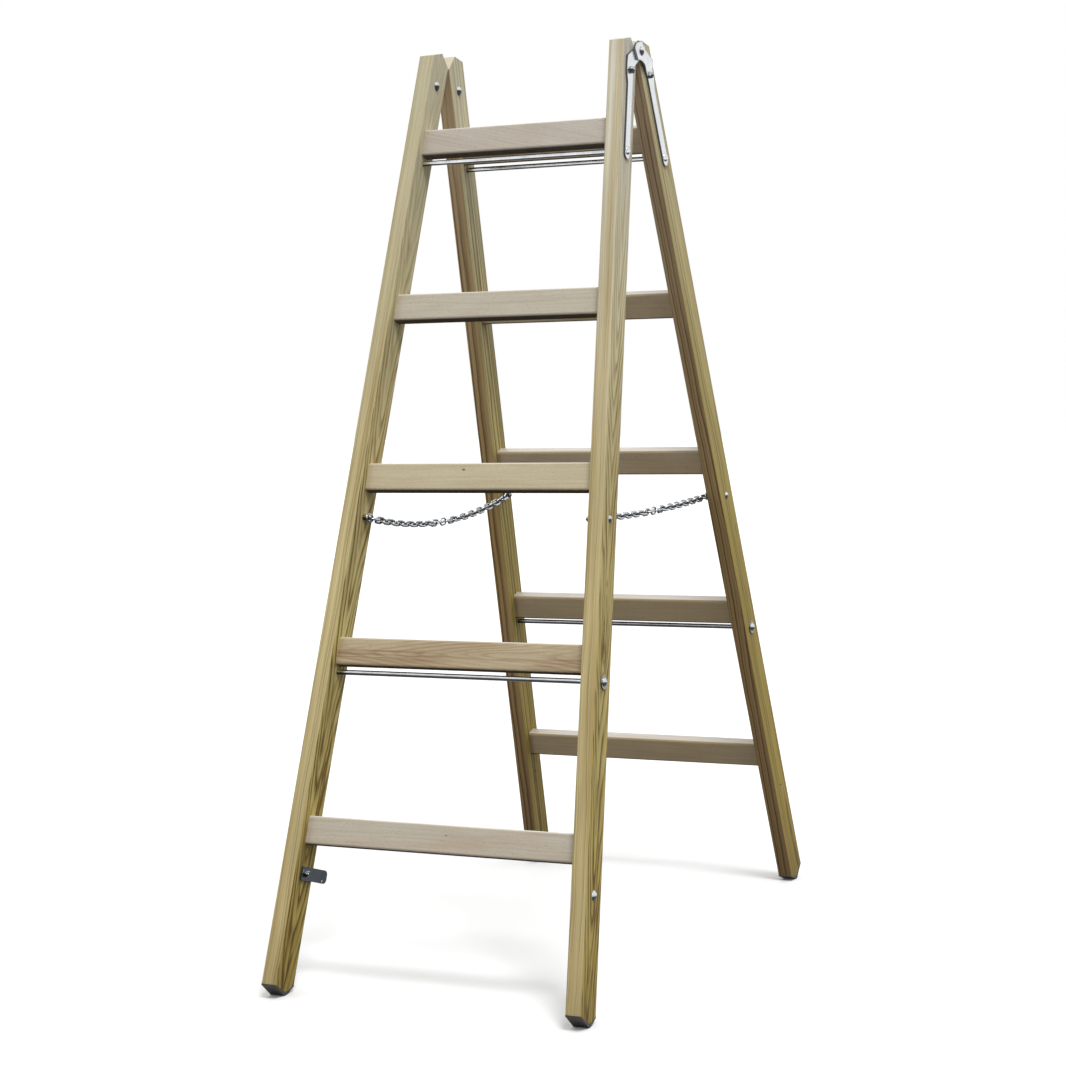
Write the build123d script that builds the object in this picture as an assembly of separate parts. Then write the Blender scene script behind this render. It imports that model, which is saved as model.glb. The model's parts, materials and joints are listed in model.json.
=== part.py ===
from build123d import *
import math
import os

# All sizes are in millimetres and all angles in degrees.
# A leaf is one half of the ladder. In a leaf, x runs across, y inwards through its depth and z up along it.

# leaf
LEAN = 17.8  # lean of each leaf from upright with the ladder open
FOOT_WIDTH = 529.0  # across the outer faces of the stiles at the floor
TOP_WIDTH = 358.0  # across the outer faces of the stiles at their peaks
STILE_WIDTH = 25.0
STILE_DEPTH = 56.0
STILE_ROUND = 1.5  # rounding of the long edges
TOP_RISE = 15.0  # from the shoulders of the top to its peak
LEAF_GAP = 1.0  # left between the two leaves when folded

# rungs
RUNG_COUNT = 5
RUNG_PITCH = 280.0
LOWEST_RUNG = 254.0  # height of the lowest rung's centre along the leaf
TOP_RUNG_DROP = 159.5  # from the peaks of the stiles to the highest rung's centre
RUNG_HEIGHT = 44.0
RUNG_DEPTH = 24.0
RUNG_ROUND = 4.0
TENON_LENGTH = 17.0
TENON_HEIGHT = 34.0
TENON_DEPTH = 14.0
TENON_FIT = 0.1  # left around a tenon in its mortise
MORTISE_END = 1.0  # left past the end of a tenon

# soles
SOLE_OUTSIDE_HEIGHT = 15.0  # of the sole's edge on the outside of the leaf
SOLE_INSIDE_HEIGHT = 17.0  # of its edge on the inside of the leaf
SOLE_EDGE_THICKNESS = 1.5  # along the leaf, as is the next
SOLE_TIP_THICKNESS = 6.0
SOLE_TOE = 4.5  # depth where the flat on the floor begins
SOLE_HEEL = 9.5  # depth where the flat on the floor ends

# tie rods
ROD_DIAMETER = 8.0
ROD_DROP = 10.0  # from the underside of a rung to the rod's centre
ROD_RUNGS = (2, 5)  # the rungs with a rod below, counted from the floor
ROD_FIT = 0.2
ROD_HEAD_DIAMETER = 14.0
ROD_HEAD_HEIGHT = 4.5
WASHER_DIAMETER = 22.0
WASHER_THICKNESS = 2.0

# bolts
BOLT_DIAMETER = 6.0
BOLT_FIT = 0.2
BOLT_HEAD_DIAMETER = 16.0
BOLT_HEAD_HEIGHT = 4.0
NUT_FLATS = 10.0
NUT_HEIGHT = 5.0
NUT_FIT = 0.05
NUT_SIDES = 6
BOLT_PROUD = 1.5  # length of thread past the nut

# top hinge
PIVOT_DROP = 11.5  # from the peaks of the stiles to the pivot
HINGE_BOLT_DROP = 44.5  # from the pivot to the bolt
ARM_THICKNESS = 3.0
STRAP_WIDTH = 20.0
STRAP_END_DROP = 4.0  # from the upper rod's centre to the centre of the strap's round end
HEAD_STAND_OFF = 0.3  # between the two heads, and under the head of the rivet
BEND_CLEARANCE = 1.7  # from the corners of the nut up to the bend of a front arm
JOGGLE_CLEARANCE = 1.2  # from the corners of the nut up to the joggle of a rear arm
JOGGLE_LENGTH = 14.0
RIVET_DIAMETER = 10.0
RIVET_FIT = 0.05
RIVET_HEAD_DIAMETER = 15.0
RIVET_HEAD_HEIGHT = 3.5
RIVET_BACK_THICKNESS = 1.1
# outer side of an arm's head, from the strap up to its far corner, as depth and rise above the pivot
HEAD_OUTER = [(-10.0, -70.0), (-16.5, -52.0), (-16.5, -26.0), (3.0, -8.0), (16.0, 3.0), (21.0, 15.0)]
HEAD_END = [(46.0, 17.0), (55.0, 11.0), (48.0, -10.0), (40.0, -12.0)]
HEAD_HOLLOW = [(22.0, -23.5), (10.0, -44.0)]  # middle and lower end of the hollow edge
HEAD_BEYOND = 40.0  # length of the cutting shapes past the head

# chains
CHAIN_RUNG = 3  # the rung above the chain bolts, counted from the floor
CHAIN_BOLT_DROP = 64.0  # from that rung's centre to the bolts
CHAIN_BOLT_DIAMETER = 5.0
CHAIN_NUT_FLATS = 8.0
CHAIN_NUT_HEIGHT = 6.0  # of the nut that stands the chain off the stile
CHAIN_END_NUT_HEIGHT = 3.0
CHAIN_SEAT = 0.6  # depth of the seats cut square to the bolt
CHAIN_SEAT_FIT = 0.4
CHAIN_HEAD_DIAMETER = 13.0
CHAIN_HEAD_HEIGHT = 3.5
CHAIN_SAG = {"left": 27.0, "right": 7.0}
WIRE_DIAMETER = 3.0
LINK_INNER_WIDTH = 6.4
LINK_PLAY = 0.4  # between the wires of two links of the slacker chain
LINK_SIDE_PLAY = 0.5  # between the end link and the nuts
TWIST_STEP = 15.0  # turn of a link about the chain past the link before it
FULL_TWIST = 45.0  # turn of the links away from the bolts and the middle link
# links in each length of chain, from the front
LINK_COUNTS = {"front_upper": 10, "front_lower": 6, "middle": 1, "rear_lower": 6, "rear_upper": 10}

# catches
CATCH_DROP = 65.0  # from the lowest rung's centre to the bolt
CATCH_THICKNESS = 2.0
CATCH_WIDTH = 21.0
CATCH_SHORT_END = 11.0  # from the bolt to the fixed end
CATCH_LONG_END = 62.0  # from the bolt to the free end
CATCH_FLARE = 16.0  # length of the flared free end
CATCH_FLARE_ANGLE = 10.0
CATCH_CORNER = 2.0
CATCH_FREE_CORNER = 7.0
CATCH_EYE_DIAMETER = 4.0
CATCH_EYE_INSET = 9.0  # from the free end to the eye
CATCH_EYE_MARGIN = 4.0  # from the lower edge to the eye
CATCH_WASHER_DIAMETER = 12.0
CATCH_WASHER_THICKNESS = 1.6
CATCH_HOLE_DIAMETER = 6.0

RUNG_HEIGHTS = [LOWEST_RUNG + n * RUNG_PITCH for n in range(RUNG_COUNT)]
STILE_LENGTH = RUNG_HEIGHTS[-1] + TOP_RUNG_DROP  # from the floor to the peak, along the leaf
HALF_DEPTH = STILE_DEPTH / 2
TAPER = (FOOT_WIDTH - TOP_WIDTH) / 2 / STILE_LENGTH
TILT = math.atan(TAPER)
LEAN_SIN = math.sin(math.radians(LEAN))
LEAN_COS = math.cos(math.radians(LEAN))
LEAN_TAN = math.tan(math.radians(LEAN))
HEX_CORNER = 1 / math.cos(math.pi / NUT_SIDES)  # ratio of a nut's corner radius to half its flats
PIVOT_DEPTH = HALF_DEPTH + LEAF_GAP / 2
PIVOT_HEIGHT = STILE_LENGTH - PIVOT_DROP
HINGE_BOLT_HEIGHT = PIVOT_HEIGHT - HINGE_BOLT_DROP
HINGE_NUT_TOP = HINGE_BOLT_HEIGHT + NUT_FLATS / 2 * HEX_CORNER
FRONT_BEND_HEIGHT = HINGE_NUT_TOP + BEND_CLEARANCE
JOGGLE_LOW = HINGE_NUT_TOP + JOGGLE_CLEARANCE
JOGGLE_HIGH = JOGGLE_LOW + JOGGLE_LENGTH
CHAIN_BOLT_HEIGHT = RUNG_HEIGHTS[CHAIN_RUNG - 1] - CHAIN_BOLT_DROP
CATCH_HEIGHT = LOWEST_RUNG - CATCH_DROP
LINK_COUNT = sum(LINK_COUNTS.values())
REACH = PIVOT_HEIGHT * LEAN_SIN + PIVOT_DEPTH * LEAN_COS
ROD_HEIGHTS = [RUNG_HEIGHTS[n - 1] - RUNG_HEIGHT / 2 - ROD_DROP for n in ROD_RUNGS]
LOWER_ROD, UPPER_ROD = ROD_HEIGHTS
FRONT_LEAF = Location((0, -REACH, 0), (-LEAN, 0, 0))
REAR_LEAF = Location((0, 0, 0), (0, 0, 180)) * FRONT_LEAF
LEAVES = {"front": (FRONT_LEAF, 1), "rear": (REAR_LEAF, -1)}
SIDES = {"left": -1, "right": 1}


def outer(height):
    return FOOT_WIDTH / 2 - TAPER * height


def inner(height):
    return outer(height) - STILE_WIDTH / math.cos(TILT)


def prism_across(points):
    face = make_face(Polyline(*points, close=True))
    return extrude(Plane.YZ * face, amount=FOOT_WIDTH, both=True)


def prism_deep(points, half_depth):
    face = make_face(Polyline(*points, close=True))
    return extrude(Plane.XZ * face, amount=half_depth, both=True)


def bar_across(height, length, diameter, depth=0):
    return Pos(0, depth, height) * Rot(0, 90, 0) * Cylinder(diameter / 2, length)


def on_outer(side, height, depth, lift):
    """Seat on a stile's outer face, its z pointing away from the wood."""
    normal = (side * math.cos(TILT), 0, math.sin(TILT))
    seat = Plane(origin=(side * outer(height), depth, height), x_dir=(0, 1, 0), z_dir=normal)
    return seat.location * Pos(0, 0, lift)


def on_inner(side, height, depth, lift):
    """Seat on the inner face, straight through the stile from the one on its outer face."""
    return on_outer(side, height, depth, -STILE_WIDTH - lift) * Rot(180, 0, 0)


def square_seat(side, across, depth, height, facing):
    """Seat facing straight across the leaf."""
    origin = (side * across, depth, height)
    return Plane(origin=origin, x_dir=(0, 1, 0), z_dir=(facing * side, 0, 0)).location


def dome(diameter, height):
    radius = (diameter**2 / 4 + height**2) / (2 * height)
    above = Pos(0, 0, diameter) * Box(2 * diameter, 2 * diameter, 2 * diameter)
    return Pos(0, 0, height - radius) * Sphere(radius) & above


def bolt(diameter, length, head_diameter, head_height):
    shank = Pos(0, 0, -length / 2) * Cylinder(diameter / 2, length)
    return dome(head_diameter, head_height) + shank


def nut(flats, height, diameter):
    blank = extrude(RegularPolygon(flats / 2 * HEX_CORNER, NUT_SIDES), height)
    return blank - Pos(0, 0, height / 2) * Cylinder(diameter / 2 + NUT_FIT, 2 * height)


def washer(diameter, thickness, bore):
    plate = Pos(0, 0, thickness / 2) * Cylinder(diameter / 2, thickness)
    return plate - Pos(0, 0, thickness / 2) * Cylinder(bore / 2, 2 * thickness)


def group(shapes):
    return Compound(children=[s for shape in shapes for s in shape.solids()])


def foot_line(edge_thickness, tip_thickness):
    """Edge of a foot through its depth, standing off the sole's underside by the given thicknesses."""
    outside = SOLE_OUTSIDE_HEIGHT + edge_thickness
    inside = SOLE_INSIDE_HEIGHT + edge_thickness
    toe = SOLE_TOE * LEAN_TAN + tip_thickness
    heel = SOLE_HEEL * LEAN_TAN + tip_thickness
    return [(-HALF_DEPTH, outside), (SOLE_TOE, toe), (SOLE_HEEL, heel), (HALF_DEPTH, inside)]


def stile_slab(side):
    low, high = -STILE_WIDTH, STILE_LENGTH + STILE_WIDTH
    points = [(side * outer(low), low), (side * outer(high), high)]
    points += [(side * inner(high), high), (side * inner(low), low)]
    return prism_deep(points, STILE_DEPTH)


def mortises():
    cuts = []
    for height in RUNG_HEIGHTS:
        half = inner(height) + TENON_LENGTH + MORTISE_END
        block = Box(2 * half, TENON_DEPTH + 2 * TENON_FIT, TENON_HEIGHT + 2 * TENON_FIT)
        cuts.append(Pos(0, 0, height) * block)
    return cuts


def stile_holes(side, leaf):
    cuts = [bar_across(height, 2 * FOOT_WIDTH, ROD_DIAMETER + 2 * ROD_FIT) for height in ROD_HEIGHTS]
    cuts.append(bar_across(CHAIN_BOLT_HEIGHT, 2 * FOOT_WIDTH, CHAIN_BOLT_DIAMETER + 2 * BOLT_FIT))
    through = Pos(0, 0, -STILE_WIDTH / 2) * Cylinder(BOLT_DIAMETER / 2 + BOLT_FIT, 2 * STILE_WIDTH)
    cuts.append(on_outer(side, HINGE_BOLT_HEIGHT, 0, 0) * through)
    if leaf == "front":
        cuts.append(on_outer(side, CATCH_HEIGHT, 0, 0) * through)
    else:
        cuts.append(bar_across(CATCH_HEIGHT, 2 * FOOT_WIDTH, CATCH_HOLE_DIAMETER))
    head_seat = Pos(0, 0, STILE_WIDTH / 2) * Cylinder(CHAIN_HEAD_DIAMETER / 2 + CHAIN_SEAT_FIT, STILE_WIDTH)
    nut_radius = CHAIN_NUT_FLATS / 2 * HEX_CORNER + CHAIN_SEAT_FIT
    nut_seat = Pos(0, 0, STILE_WIDTH / 2) * Cylinder(nut_radius, STILE_WIDTH)
    cuts.append(chain_seat(side, 1) * head_seat)
    cuts.append(chain_seat(side, -1) * nut_seat)
    return cuts


def chain_seat(side, facing):
    across = outer(CHAIN_BOLT_HEIGHT) if facing == 1 else inner(CHAIN_BOLT_HEIGHT)
    return square_seat(side, across - facing * CHAIN_SEAT, 0, CHAIN_BOLT_HEIGHT, facing)


def stile(side, leaf):
    shoulder = STILE_LENGTH - TOP_RISE
    foot = foot_line(SOLE_EDGE_THICKNESS, SOLE_TIP_THICKNESS)
    top = [(HALF_DEPTH, shoulder), (0, STILE_LENGTH), (-HALF_DEPTH, shoulder)]
    body = stile_slab(side) & prism_across(foot + top)
    long_edges = [edge for edge in body.edges() if edge.length > STILE_LENGTH / 2]
    body = fillet(long_edges, STILE_ROUND)
    return body - mortises() - stile_holes(side, leaf)


def sole(side):
    upper = foot_line(SOLE_EDGE_THICKNESS, SOLE_TIP_THICKNESS)
    under = foot_line(0, 0)
    return stile_slab(side) & prism_across(under + upper[::-1])


def rung(height):
    low, high = height - RUNG_HEIGHT, height + RUNG_HEIGHT
    bar = Box(2 * inner(low), RUNG_DEPTH, RUNG_HEIGHT)
    bar = fillet(bar.edges().filter_by(Axis.X), RUNG_ROUND)
    corners = [(-inner(low), low), (inner(low), low), (inner(high), high), (-inner(high), high)]
    between = prism_deep(corners, STILE_DEPTH)
    tenons = Pos(0, 0, height) * Box(2 * (inner(height) + TENON_LENGTH), TENON_DEPTH, TENON_HEIGHT)
    return (Pos(0, 0, height) * bar & between) + tenons


def tie_rod(height, under_head):
    """Round rod closed over by a domed head on each outer face, under_head being what the head clamps."""
    half = outer(height) + under_head
    rod = bar_across(height, 2 * half, ROD_DIAMETER)
    for side in SIDES.values():
        rod += on_outer(side, height, 0, under_head) * dome(ROD_HEAD_DIAMETER, ROD_HEAD_HEIGHT)
    return rod


def rod_washers():
    one = washer(WASHER_DIAMETER, WASHER_THICKNESS, ROD_DIAMETER + 4 * ROD_FIT)
    return group([on_outer(side, LOWER_ROD, 0, 0) * one for side in SIDES.values()])


def above_pivot(points):
    return [(depth, PIVOT_HEIGHT + rise) for depth, rise in points]


def arm_outline():
    low = UPPER_ROD - STRAP_END_DROP
    half = STRAP_WIDTH / 2
    end = ThreePointArc((half, low), (0, low - half), (-half, low))
    flank = Polyline((-half, low), *above_pivot(HEAD_OUTER + HEAD_END))
    hollow = ThreePointArc(*above_pivot(HEAD_END[-1:] + HEAD_HOLLOW))
    strap = Line(hollow @ 1, (half, low))
    return extrude(Plane.YZ * make_face([end, flank, hollow, strap]), amount=FOOT_WIDTH, both=True)


def arm_faces(leaf):
    """Line of an arm's inner face across the leaf, from below the strap to past the head."""
    low, top = UPPER_ROD - HEAD_BEYOND, PIVOT_HEIGHT + HEAD_BEYOND
    front_head = outer(FRONT_BEND_HEIGHT)
    if leaf == "front":
        return [(outer(low), low), (front_head, FRONT_BEND_HEIGHT), (front_head, top)]
    rear_head = front_head + ARM_THICKNESS + HEAD_STAND_OFF
    return [(outer(low), low), (outer(JOGGLE_LOW), JOGGLE_LOW), (rear_head, JOGGLE_HIGH), (rear_head, top)]


def hinge_arm(side, leaf):
    inside = arm_faces(leaf)
    outside = [(across + ARM_THICKNESS, height) for across, height in reversed(inside)]
    slab = prism_deep([(side * across, height) for across, height in inside + outside], STILE_DEPTH * 2)
    arm = slab & arm_outline()
    arm -= bar_across(UPPER_ROD, 2 * FOOT_WIDTH, ROD_DIAMETER + 2 * ROD_FIT)
    arm -= bar_across(PIVOT_HEIGHT, 2 * FOOT_WIDTH, RIVET_DIAMETER + 2 * RIVET_FIT, PIVOT_DEPTH)
    hole = Cylinder(BOLT_DIAMETER / 2 + BOLT_FIT, 2 * STILE_WIDTH)
    return arm - on_outer(side, HINGE_BOLT_HEIGHT, 0, 0) * hole


def pivot_rivets():
    front_head = arm_faces("front")[-1][0]
    rear_head = arm_faces("rear")[-1][0]
    under = rear_head + ARM_THICKNESS + HEAD_STAND_OFF
    shank_length = under - front_head + RIVET_BACK_THICKNESS
    rivet = bolt(RIVET_DIAMETER, shank_length, RIVET_HEAD_DIAMETER, RIVET_HEAD_HEIGHT)
    back = Cylinder(RIVET_HEAD_DIAMETER / 2, RIVET_BACK_THICKNESS)
    rivet += Pos(0, 0, RIVET_BACK_THICKNESS / 2 - shank_length) * back
    seats = [square_seat(side, under, PIVOT_DEPTH, PIVOT_HEIGHT, 1) for side in SIDES.values()]
    return group([seat * rivet for seat in seats])


def hinge_bolts():
    length = STILE_WIDTH + ARM_THICKNESS + NUT_HEIGHT + BOLT_PROUD
    one = bolt(BOLT_DIAMETER, length, BOLT_HEAD_DIAMETER, BOLT_HEAD_HEIGHT)
    placed = []
    for side in SIDES.values():
        placed.append(on_inner(side, HINGE_BOLT_HEIGHT, 0, 0) * one)
    return group(placed)


def hinge_nuts():
    one = nut(NUT_FLATS, NUT_HEIGHT, BOLT_DIAMETER)
    return group([on_outer(side, HINGE_BOLT_HEIGHT, 0, ARM_THICKNESS) * one for side in SIDES.values()])


def link_room():
    return WIRE_DIAMETER + 2 * LINK_SIDE_PLAY


def chain_bolts():
    through = outer(CHAIN_BOLT_HEIGHT) - inner(CHAIN_BOLT_HEIGHT) - 2 * CHAIN_SEAT
    length = through + CHAIN_NUT_HEIGHT + link_room() + CHAIN_END_NUT_HEIGHT + BOLT_PROUD
    one = bolt(CHAIN_BOLT_DIAMETER, length, CHAIN_HEAD_DIAMETER, CHAIN_HEAD_HEIGHT)
    return group([chain_seat(side, 1) * one for side in SIDES.values()])


def chain_nuts():
    spacer = nut(CHAIN_NUT_FLATS, CHAIN_NUT_HEIGHT, CHAIN_BOLT_DIAMETER)
    end = nut(CHAIN_NUT_FLATS, CHAIN_END_NUT_HEIGHT, CHAIN_BOLT_DIAMETER)
    stack = [spacer, Pos(0, 0, CHAIN_NUT_HEIGHT + link_room()) * end]
    seats = [chain_seat(side, -1) for side in SIDES.values()]
    return group([seat * one for seat in seats for one in stack])


def chain_link(inner_length):
    radius = (LINK_INNER_WIDTH + WIRE_DIAMETER) / 2
    path = SlotCenterToCenter(inner_length - LINK_INNER_WIDTH, 2 * radius).wire()
    section = Plane(origin=path @ 0, z_dir=path % 0) * Circle(WIRE_DIAMETER / 2)
    return sweep(section, path=path)


def chain_arc(name):
    """Radius of the arc that a chain hangs in, the height of its middle, and the pitch of its links."""
    sag = CHAIN_SAG[name]
    half_span = REACH - CHAIN_BOLT_HEIGHT * LEAN_SIN
    radius = (half_span**2 + sag**2) / (2 * sag)
    bottom = CHAIN_BOLT_HEIGHT * LEAN_COS - sag
    length = 2 * radius * math.asin(half_span / radius)
    pitch = (length + CHAIN_BOLT_DIAMETER + LINK_PLAY) / LINK_COUNT
    return radius, bottom, pitch


def link_twist(number):
    """Turn of a link about the chain, none at the bolts and at the middle, where the chain folds."""
    middle = (LINK_COUNT + 1) // 2
    held = [1, middle - 1, middle, middle + 1, LINK_COUNT]
    steps = min(abs(number - other) for other in held)
    return min(FULL_TWIST, steps * TWIST_STEP)


def chain_links(name, first, count):
    radius, bottom, pitch = chain_arc(name)
    longest_pitch = max(chain_arc(other)[2] for other in SIDES)
    one = chain_link(longest_pitch + LINK_PLAY)
    across = SIDES[name] * (inner(CHAIN_BOLT_HEIGHT) + CHAIN_SEAT - CHAIN_NUT_HEIGHT - link_room() / 2)
    placed = []
    for number in range(first, first + count):
        turn = (number - (LINK_COUNT + 1) / 2) * pitch / radius
        middle = (across, radius * math.sin(turn), bottom + radius * (1 - math.cos(turn)))
        along = (0, math.cos(turn), math.sin(turn))
        upwards = (0, -math.sin(turn), math.cos(turn))
        facing = upwards if number % 2 == 0 else (1, 0, 0)
        seat = Plane(origin=middle, x_dir=along, z_dir=facing).location
        placed.append(seat * Rot(link_twist(number), 0, 0) * one)
    return group(placed)


def catch_plate(side):
    length = CATCH_SHORT_END + CATCH_LONG_END
    outline = Pos(length / 2 - CATCH_SHORT_END, 0) * Rectangle(length, CATCH_WIDTH)
    outline = fillet(outline.vertices().group_by(Axis.X)[0], CATCH_CORNER)
    outline = fillet(outline.vertices().group_by(Axis.X)[-1], CATCH_FREE_CORNER)
    flat_end = CATCH_LONG_END - CATCH_FLARE
    rise = CATCH_FLARE * math.tan(math.radians(CATCH_FLARE_ANGLE))
    low = [(-CATCH_SHORT_END, 0), (flat_end, 0), (CATCH_LONG_END, rise)]
    high = [(along, level + CATCH_THICKNESS) for along, level in reversed(low)]
    plate = extrude(outline, CATCH_LONG_END) & prism_deep(low + high, CATCH_WIDTH)
    plate -= Cylinder(BOLT_DIAMETER / 2 + BOLT_FIT, 4 * CATCH_THICKNESS)
    drop = CATCH_WIDTH / 2 - CATCH_EYE_MARGIN
    eye = Cylinder(CATCH_EYE_DIAMETER / 2, 2 * CATCH_FLARE)
    plate -= Pos(CATCH_LONG_END - CATCH_EYE_INSET, side * drop, 0) * eye
    return on_inner(side, CATCH_HEIGHT, 0, CATCH_WASHER_THICKNESS) * plate


def catch_bolts():
    length = STILE_WIDTH + CATCH_WASHER_THICKNESS + CATCH_THICKNESS + NUT_HEIGHT + BOLT_PROUD
    one = bolt(BOLT_DIAMETER, length, BOLT_HEAD_DIAMETER, BOLT_HEAD_HEIGHT)
    return group([on_outer(side, CATCH_HEIGHT, 0, 0) * one for side in SIDES.values()])


def catch_washers():
    one = washer(CATCH_WASHER_DIAMETER, CATCH_WASHER_THICKNESS, BOLT_DIAMETER + 2 * BOLT_FIT)
    return group([on_inner(side, CATCH_HEIGHT, 0, 0) * one for side in SIDES.values()])


def catch_nuts():
    one = nut(NUT_FLATS, NUT_HEIGHT, BOLT_DIAMETER)
    lift = CATCH_WASHER_THICKNESS + CATCH_THICKNESS
    return group([on_inner(side, CATCH_HEIGHT, 0, lift) * one for side in SIDES.values()])


def save(name, shape):
    shape.label = name
    export_step(shape, os.path.join("parts", name + ".step"))


def save_leaf(leaf):
    place, turn = LEAVES[leaf]
    for name, side in SIDES.items():
        save(f"{leaf}_{name}_stile", place * stile(side * turn, leaf))
        save(f"{leaf}_{name}_sole", place * sole(side * turn))
        save(f"{leaf}_{name}_hinge_arm", place * hinge_arm(side * turn, leaf))
    for number, height in enumerate(RUNG_HEIGHTS, 1):
        save(f"{leaf}_rung_{number}", place * rung(height))
    save(f"{leaf}_lower_tie_rod", place * tie_rod(LOWER_ROD, WASHER_THICKNESS))
    save(f"{leaf}_upper_tie_rod", place * tie_rod(UPPER_ROD, ARM_THICKNESS))
    save(f"{leaf}_tie_rod_washers", place * rod_washers())
    save(f"{leaf}_hinge_bolts", place * hinge_bolts())
    save(f"{leaf}_hinge_nuts", place * hinge_nuts())
    save(f"{leaf}_chain_bolts", place * chain_bolts())
    save(f"{leaf}_chain_nuts", place * chain_nuts())


def save_chain(name):
    first = 1
    for length, count in LINK_COUNTS.items():
        save(f"{name}_chain_{length}", chain_links(name, first, count))
        first += count


os.makedirs("parts", exist_ok=True)
save_leaf("front")
save_leaf("rear")
save("hinge_pivot_rivets", FRONT_LEAF * pivot_rivets())
save("catch_bolts", FRONT_LEAF * catch_bolts())
save("catch_washers", FRONT_LEAF * catch_washers())
save("catch_nuts", FRONT_LEAF * catch_nuts())
for side_name, side_sign in SIDES.items():
    save(f"{side_name}_catch_plate", FRONT_LEAF * catch_plate(side_sign))
    save_chain(side_name)
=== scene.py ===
import json
import math

import bmesh
import bpy
import numpy as np
from mathutils import Matrix, Vector


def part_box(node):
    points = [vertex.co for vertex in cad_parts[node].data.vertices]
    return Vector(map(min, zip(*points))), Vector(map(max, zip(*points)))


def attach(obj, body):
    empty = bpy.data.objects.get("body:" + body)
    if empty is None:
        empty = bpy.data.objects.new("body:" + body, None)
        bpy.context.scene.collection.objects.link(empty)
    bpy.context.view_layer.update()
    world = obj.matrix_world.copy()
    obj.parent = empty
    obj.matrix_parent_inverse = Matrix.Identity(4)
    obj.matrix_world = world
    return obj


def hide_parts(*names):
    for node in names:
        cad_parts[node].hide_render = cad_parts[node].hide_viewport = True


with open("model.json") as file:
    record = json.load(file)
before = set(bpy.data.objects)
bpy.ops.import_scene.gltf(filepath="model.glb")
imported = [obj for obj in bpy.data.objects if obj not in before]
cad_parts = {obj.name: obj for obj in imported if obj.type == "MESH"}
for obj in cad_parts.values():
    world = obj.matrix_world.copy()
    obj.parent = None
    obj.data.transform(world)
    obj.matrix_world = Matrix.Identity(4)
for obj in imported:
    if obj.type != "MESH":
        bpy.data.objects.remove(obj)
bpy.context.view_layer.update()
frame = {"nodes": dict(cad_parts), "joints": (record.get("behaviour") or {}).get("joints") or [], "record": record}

# Lengths are in metres and colours are display values from 0 to 255 unless a line says otherwise.
# A leaf is one half of the ladder. The front leaf is the one nearer the camera.

# camera
CAMERA_PLACE = (1.5249, -3.4211, 0.9668)
CAMERA_YAW = 0.4252  # radians, turned left from looking along +Y
CAMERA_PITCH = 0.0791  # radians, looking down
CAMERA_ROLL = 0.0266  # radians, turned clockwise
FOCAL_PIXELS = 2274.7
PICTURE_PIXELS = 1066
SENSOR_WIDTH = 36.0  # millimetres

# light
SKY_TOP = 1.3  # strength of the sky's light overhead
SKY_EDGE = 0.5  # strength of the sky's light at the horizon and below
SUN_POWER = 1.6
SUN_AZIMUTH = math.radians(46)  # turned right from the front of the ladder
SUN_HEIGHT = math.radians(60)
SUN_ANGLE = math.radians(16)
WHITE = (1, 1, 1, 1)
FLOOR_SIZE = 40.0
FLOOR_SHADE = 0.84  # reflectance of the floor as it is seen
FLOOR_BOUNCE = 0.06  # reflectance of the floor for the light that it throws back
FLOOR_DROP = 0.0002

# axes that the grain follows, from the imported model
fold = next(joint for joint in frame["joints"] if joint["name"] == "fold")
LEAN = math.radians(fold["range_deg"][1] / 2)
ACROSS = Vector((1, 0, 0))
LEAF_UP = {"front": Vector((0, math.sin(LEAN), math.cos(LEAN))),
           "rear": Vector((0, -math.sin(LEAN), math.cos(LEAN)))}
END_SLICE = 0.08  # share of a stile's height at each end that gives its axis
SIDES = {-1: "left", 1: "right"}


def tone(red, green, blue):
    """Linear colour of a display colour."""
    def linear(value):
        value /= 255
        return value / 12.92 if value <= 0.04045 else ((value + 0.055) / 1.055) ** 2.4
    return (linear(red), linear(green), linear(blue), 1.0)


# A step gives the range of a value over which a smooth step runs and, in some, the step's two ends after it.
# A noise is given by its settings, with its scale in cells to the metre along each axis.
NOISE_MIDDLE = (0.5, 0.5, 0.5)
MIX_INPUTS = (0, 6, 7)  # sockets of a colour mix for its share and its two colours
MIX_RESULT = 2
SHADER_RAYS = 6  # rays that look for an edge or a corner
EDGE_STEP = (0.996, 0.88)  # cosine between the rounded and the true surface
CREVICE_STEP = (0.85, 0.3)  # open share of the surroundings


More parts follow.
